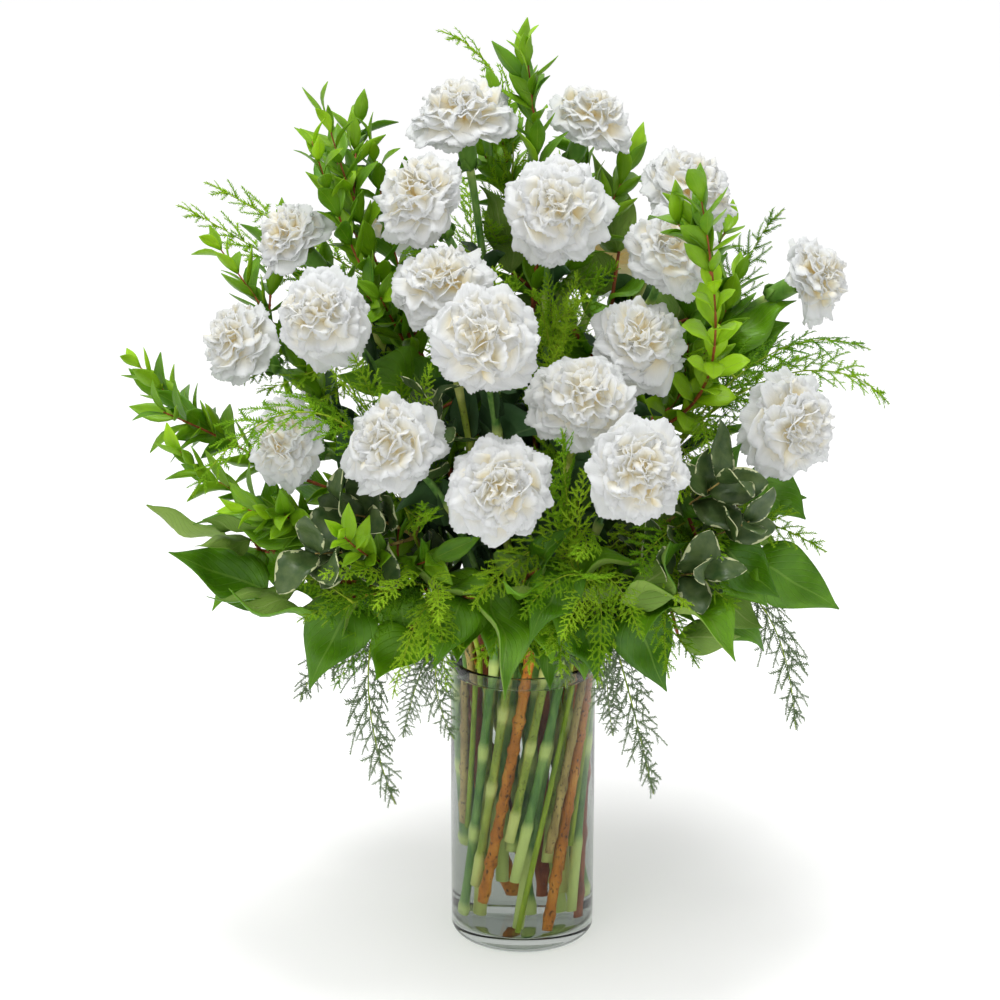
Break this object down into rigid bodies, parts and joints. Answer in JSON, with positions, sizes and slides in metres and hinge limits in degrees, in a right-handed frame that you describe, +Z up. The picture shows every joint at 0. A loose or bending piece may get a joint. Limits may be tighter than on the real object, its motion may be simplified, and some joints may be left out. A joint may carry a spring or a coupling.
{
  "type": "carnations in a vase",
  "caption": "White carnations with myrtle, salal, pittosporum and feathery fern, standing in a water-filled clear glass cylinder vase.",
  "frame": {"origin": "the middle of the vase's foot, on the surface that it stands on", "axes": "+Z up along the vase; the fuller side of the bouquet, which the picture shows, faces -Y"},
  "size_m": [0.5215, 0.3631, 0.645],
  "materials": {
    "glass": "clear polished glass with a faint grey-green tint in the thick base",
    "water": "clear still water",
    "petal": "matt translucent white, cream deep between the petals",
    "carnation_green": "waxy blue-green, paler under water",
    "myrtle": "glossy leaves, yellow-green and reddish at the tips, on red-brown twigs",
    "salal": "leathery satin leaves with pale veins and paler undersides",
    "pittosporum": "satin grey-green leaves with cream edges",
    "fern": "matt fine needles on wiry green stems"
  },
  "bodies": {
    "root": {"vase": "glass", "water": "water", "bloom_01": "petal", "bloom_02": "petal", "bloom_03": "petal", "bloom_04": "petal", "bloom_05": "petal", "bloom_06": "petal", "bloom_07": "petal", "bloom_08": "petal", "bloom_09": "petal", "bloom_10": "petal", "bloom_11": "petal", "bloom_12": "petal", "bloom_13": "petal", "bloom_14": "petal", "bloom_15": "petal", "bloom_16": "petal", "bloom_17": "petal", "bloom_18": "petal", "bloom_19": "petal", "bloom_20": "petal", "bloom_21": "petal", "bloom_22": "petal", "stem_01": "carnation_green", "stem_02": "carnation_green", "stem_03": "carnation_green", "stem_04": "carnation_green", "stem_05": "carnation_green", "stem_06": "carnation_green", "stem_07": "carnation_green", "stem_08": "carnation_green", "stem_09": "carnation_green", "stem_10": "carnation_green", "stem_11": "carnation_green", "stem_12": "carnation_green", "stem_13": "carnation_green", "stem_14": "carnation_green", "stem_15": "carnation_green", "stem_16": "carnation_green", "stem_17": "carnation_green", "stem_18": "carnation_green", "stem_19": "carnation_green", "stem_20": "carnation_green", "stem_21": "carnation_green", "stem_22": "carnation_green", "myrtle_1": "myrtle", "myrtle_2": "myrtle", "myrtle_3": "myrtle", "myrtle_4": "myrtle", "pittosporum_1": "pittosporum", "pittosporum_2": "pittosporum", "salal_1": "salal", "salal_2": "salal", "salal_3": "salal", "salal_4": "salal", "fern_1": "fern", "fern_2": "fern", "fern_3": "fern", "fern_4": "fern"}
  },
  "joints": []
}
